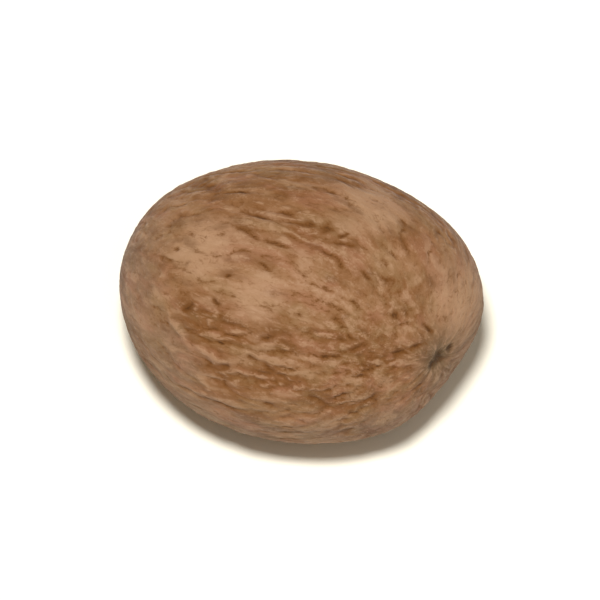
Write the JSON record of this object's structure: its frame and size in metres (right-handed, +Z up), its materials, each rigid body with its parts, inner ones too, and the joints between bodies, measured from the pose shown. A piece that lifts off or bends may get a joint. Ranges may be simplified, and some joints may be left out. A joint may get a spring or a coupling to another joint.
{
  "type": "whole nutmeg",
  "caption": "Whole dried nutmeg kernel lying on its side: an egg-shaped seed with fine lengthwise wrinkles, a hilum scar at one end and a chalaza pit at the other.",
  "frame": {"origin": "middle of the footprint, on the surface that the nutmeg rests on", "axes": "+X along the long axis towards the hilum end, +Y to the back across the kernel, +Z up"},
  "size_m": [0.025, 0.0194, 0.0185],
  "materials": {
    "shell": "matt to slightly satin, tan-brown with darker furrows and a paler, greyer dusting"
  },
  "bodies": {
    "root": {"kernel": "shell"}
  },
  "joints": []
}
